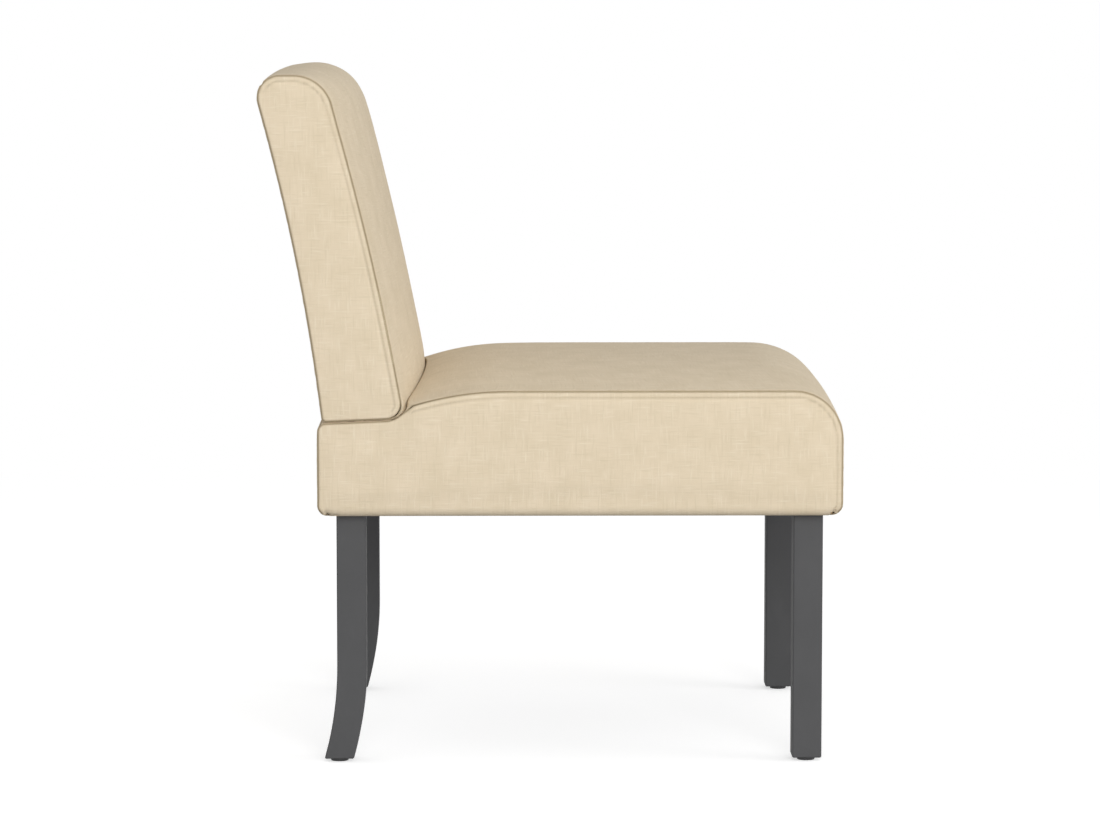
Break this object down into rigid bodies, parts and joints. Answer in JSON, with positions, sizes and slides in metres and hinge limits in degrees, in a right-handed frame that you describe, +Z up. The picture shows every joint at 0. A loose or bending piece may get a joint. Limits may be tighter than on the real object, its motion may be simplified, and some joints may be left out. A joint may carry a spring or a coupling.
{
  "type": "slipper chair",
  "caption": "Armless upholstered slipper chair with a domed boxed seat, a raked boxed back, straight square front legs and rear legs that sweep backwards.",
  "frame": {"origin": "on the floor, under the centre of the chair's bounding box", "axes": "+X towards the front of the chair, +Y to the sitter's left, +Z up"},
  "size_m": [0.6474, 0.54, 0.7706],
  "materials": {
    "dust_cover": "black spun non-woven sheet",
    "foam": "pale yellow polyurethane foam, a block wrapped down over the frame",
    "frame_wood": "sawn plywood and pine, unfinished",
    "glide_plastic": "moulded dark grey plastic",
    "leg_paint": "solid wood with a satin dark grey lacquer",
    "linen_cover": "beige plain-weave linen-look polyester, matte",
    "liner_board": "brown fibre board",
    "webbing": "woven polypropylene webbing, dark grey",
    "zinc_steel": "zinc-plated steel"
  },
  "bodies": {
    "root": {"back_front_panel": "linen_cover", "back_liner": "liner_board", "back_lower_rail": "frame_wood", "back_pad": "foam", "back_rear_panel": "linen_cover", "back_side_panel_left": "linen_cover", "back_side_panel_right": "linen_cover", "back_top_rail": "frame_wood", "back_webbing": "webbing", "corner_block_front_left": "frame_wood", "corner_block_front_right": "frame_wood", "corner_block_rear_left": "frame_wood", "corner_block_rear_right": "frame_wood", "dust_cover": "dust_cover", "glides": "glide_plastic", "leg_bolts": "zinc_steel", "leg_front_left": "leg_paint", "leg_front_right": "leg_paint", "leg_rear_left": "leg_paint", "leg_rear_right": "leg_paint", "seat_front_rail": "frame_wood", "seat_pad": "foam", "seat_rear_panel": "linen_cover", "seat_rear_rail": "frame_wood", "seat_side_panel_left": "linen_cover", "seat_side_panel_right": "linen_cover", "seat_top_panel": "linen_cover", "seat_webbing_crosswise": "webbing", "seat_webbing_lengthwise": "webbing", "side_frame_left": "frame_wood", "side_frame_right": "frame_wood"}
  },
  "joints": []
}
